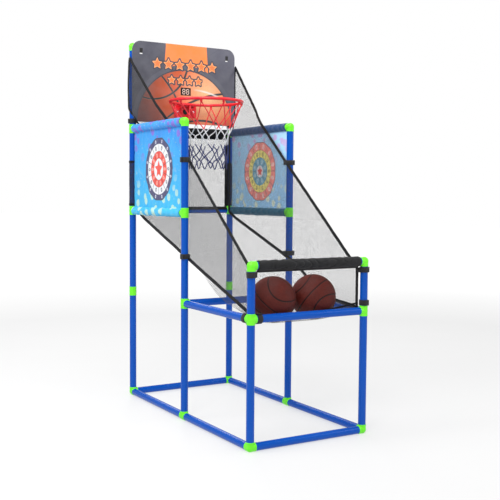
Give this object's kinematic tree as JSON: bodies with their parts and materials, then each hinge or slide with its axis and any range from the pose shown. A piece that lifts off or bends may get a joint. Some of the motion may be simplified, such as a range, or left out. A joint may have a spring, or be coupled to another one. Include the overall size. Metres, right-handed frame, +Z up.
{
  "type": "basketball hoop machine",
  "caption": "Free-standing indoor basketball hoop machine: tube frame, backboard with score display, rim and net, side target panels, sloping ball return net and balls.",
  "frame": {"origin": "on the floor, at the middle of the whole machine's outline", "axes": "+X to the right as the player faces the hoop, +Y from the player towards the backboard, +Z up"},
  "size_m": [0.453, 0.9124, 1.3494],
  "materials": {
    "blue_tube": "smooth satin blue coat over thin steel tube",
    "green_fitting": "moulded lime green plastic, semi gloss",
    "net_mesh": "fine black knitted mesh",
    "pad_cover": "black woven cover over foam, lightly wrinkled",
    "black_webbing": "black hook-and-loop webbing",
    "left_panel_cloth": "printed satin polyester, blue ground",
    "right_panel_cloth": "printed satin polyester, pale blue ground",
    "board_face": "printed and lacquered fibreboard",
    "black_plastic": "fine textured black plastic",
    "red_rim": "glossy red plastic",
    "plated_screw": "zinc plated steel",
    "hoop_cord": "twisted polyester cord, red over white over navy",
    "dark_lens": "dark smoked plastic",
    "display_block": "black block with pale segments",
    "circuit_green": "green lacquered circuit board",
    "wire_sleeve": "red wire sleeve",
    "speaker_cone": "dark speaker",
    "cell_wrap": "plain printed cell wrap",
    "switch_grey": "pale grey plastic",
    "button_red": "red plastic",
    "ball_rubber": "pebbled maroon rubber with black channels"
  },
  "bodies": {
    "frame": {"front_left_post": "blue_tube", "front_right_post": "blue_tube", "middle_left_post": "blue_tube", "middle_right_post": "blue_tube", "back_left_post": "blue_tube", "back_right_post": "blue_tube", "base_left_rail": "blue_tube", "base_right_rail": "blue_tube", "base_cross_rails": "blue_tube", "tray_side_rails": "blue_tube", "tray_cross_rails": "blue_tube", "front_bar": "blue_tube", "lower_side_arms": "blue_tube", "upper_side_arms": "blue_tube", "back_crossbars": "blue_tube", "top_bar": "blue_tube", "base_corner_fittings": "green_fitting", "base_tee_fittings": "green_fitting", "tray_front_fittings": "green_fitting", "tray_middle_fittings": "green_fitting", "post_couplings": "green_fitting", "front_bar_elbows": "green_fitting", "middle_top_elbows": "green_fitting", "middle_arm_tees": "green_fitting", "lower_back_tees": "green_fitting", "upper_back_tees": "green_fitting", "top_bar_elbows": "green_fitting", "bar_pad": "pad_cover", "left_side_net": "net_mesh", "right_side_net": "net_mesh", "back_net": "net_mesh", "return_net": "net_mesh", "net_straps": "black_webbing", "post_sleeves": "net_mesh", "crossbar_sleeve": "black_webbing", "left_target_panel": "left_panel_cloth", "right_target_panel": "right_panel_cloth", "backboard": "board_face", "board_clips": "black_plastic", "rim": "red_rim", "rim_screws": "plated_screw", "rim_nuts": "plated_screw", "hoop_net": "hoop_cord", "score_housing": "black_plastic", "score_rear_cover": "black_plastic", "cover_screws": "plated_screw", "display_window": "dark_lens", "display_module": "display_block", "circuit_board": "circuit_green", "sensor_eye": "dark_lens", "sensor_lead": "wire_sleeve", "speaker": "speaker_cone", "battery_contacts": "plated_screw", "batteries": "cell_wrap"},
    "left_ball": {"left_ball": "ball_rubber"},
    "right_ball": {"right_ball": "ball_rubber"},
    "battery_cover": {"battery_cover": "black_plastic"},
    "power_switch": {"power_switch": "switch_grey"},
    "reset_button": {"reset_button": "button_red"}
  },
  "joints": [
    {"name": "left_ball_lift", "type": "slide", "parent": "frame", "child": "left_ball", "axis": [0, 0.342, 0.9397], "range_m": [0, 0.25]},
    {"name": "right_ball_lift", "type": "slide", "parent": "frame", "child": "right_ball", "axis": [0, 0.342, 0.9397], "range_m": [0, 0.25]},
    {"name": "battery_cover_pull", "type": "slide", "parent": "frame", "child": "battery_cover", "axis": [0, 1, 0], "range_m": [0, 0.03]},
    {"name": "power_switch_slide", "type": "slide", "parent": "frame", "child": "power_switch", "axis": [1, 0, 0], "range_m": [0, 0.004]},
    {"name": "reset_button_press", "type": "slide", "parent": "frame", "child": "reset_button", "axis": [0, -1, 0], "range_m": [0, 0.0015], "stiffness_N_per_m": 200, "springref_m": -0.0005}
  ]
}
